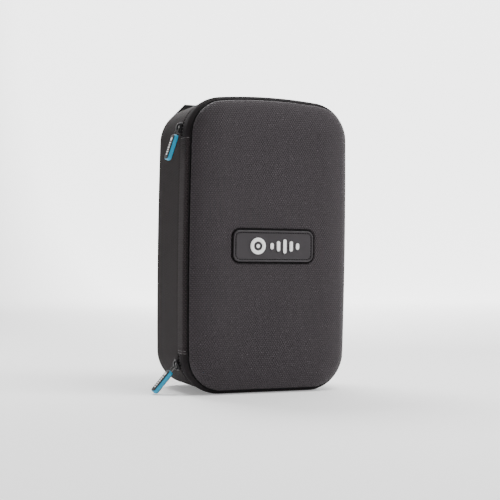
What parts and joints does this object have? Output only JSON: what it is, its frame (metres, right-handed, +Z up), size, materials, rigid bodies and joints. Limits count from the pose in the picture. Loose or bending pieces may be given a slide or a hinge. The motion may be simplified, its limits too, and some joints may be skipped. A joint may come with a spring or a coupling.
{
  "type": "zip case for a thermal imaging camera",
  "caption": "Upright hard-shell zip case with a hinged domed lid, foam recess for a pistol-grip camera, net pocket, zip sliders with pull tabs and a webbing carry handle.",
  "frame": {"origin": "middle of the flat strip along the bottom of the zip ridge, on the floor, in the plane of the ridge's crest", "axes": "+Z up along the height, +Y back from the lid to the rear face, +X to the right seen from the lid"},
  "size_m": [0.1795, 0.0995, 0.26],
  "materials": {
    "shell": "moulded foam board laminated with ballistic cloth, matt",
    "tape": "plain woven zip cloth",
    "coil": "nylon coil",
    "piping": "woven piping",
    "lining": "brushed jersey",
    "foam": "closed-cell foam",
    "net": "open knitted net",
    "webbing": "woven webbing",
    "rubber": "moulded rubber, matt",
    "mark": "white print",
    "metal": "black lacquered die casting",
    "tab": "injection-moulded blue rubber"
  },
  "bodies": {
    "root": {"back_shell": "shell", "back_lining": "lining", "back_zip_tape": "tape", "back_zip_coil": "coil", "gusset_back_hem": "shell", "gusset_top_end": "shell", "foam_insert": "foam", "upper_zip_end": "tape", "lower_zip_end": "tape", "upper_end_stop": "metal", "lower_end_stop": "metal", "handle_end_left": "webbing", "handle_end_right": "webbing"},
    "lid": {"lid_shell": "shell", "lid_lining": "lining", "lid_piping": "piping", "lid_zip_tape": "tape", "lid_zip_coil": "coil", "hinge_gusset": "shell", "badge_plate": "rubber", "badge_ring": "mark", "badge_dot": "mark", "badge_bar_1": "mark", "badge_bar_2": "mark", "badge_bar_3": "mark", "badge_bar_4": "mark", "badge_bar_5": "mark", "pocket_net": "net", "pocket_binding": "webbing"},
    "handle": {"carry_handle": "webbing"},
    "upper_slider_body": {"upper_slider": "metal"},
    "upper_pull": {"upper_bail": "metal", "upper_tab_core": "tab", "upper_tab_outer_face": "rubber", "upper_tab_inner_face": "rubber"},
    "lower_slider_body": {"lower_slider": "metal"},
    "lower_pull": {"lower_bail": "metal", "lower_tab_core": "tab", "lower_tab_outer_face": "rubber", "lower_tab_inner_face": "rubber"}
  },
  "joints": [
    {"name": "lid_hinge", "type": "hinge", "parent": "root", "child": "lid", "pos_m": [-0.0795, 0.0104, 0.13], "axis": [0, 0, -1], "range_deg": [0, 170]},
    {"name": "handle_fold", "type": "hinge", "parent": "root", "child": "handle", "pos_m": [0, 0.08005, 0.2177], "axis": [-1, 0, 0], "range_deg": [0, 90]},
    {"name": "upper_slider_travel", "type": "hinge", "parent": "root", "child": "upper_slider_body", "pos_m": [-0.044, 0.0104, 0.2238], "axis": [0, 1, 0], "range_deg": [0, 64]},
    {"name": "upper_pull_swing", "type": "hinge", "parent": "upper_slider_body", "child": "upper_pull", "pos_m": [-0.08049, 0.0104, 0.23023], "axis": [0, 1, 0], "range_deg": [0, 150]},
    {"name": "lower_slider_travel", "type": "hinge", "parent": "root", "child": "lower_slider_body", "pos_m": [-0.044, 0.0104, 0.034], "axis": [0, -1, 0], "range_deg": [0, 45]},
    {"name": "lower_pull_swing", "type": "hinge", "parent": "lower_slider_body", "child": "lower_pull", "pos_m": [-0.07979, 0.0104, 0.02441], "axis": [0, 1, 0], "range_deg": [0, 100]}
  ]
}
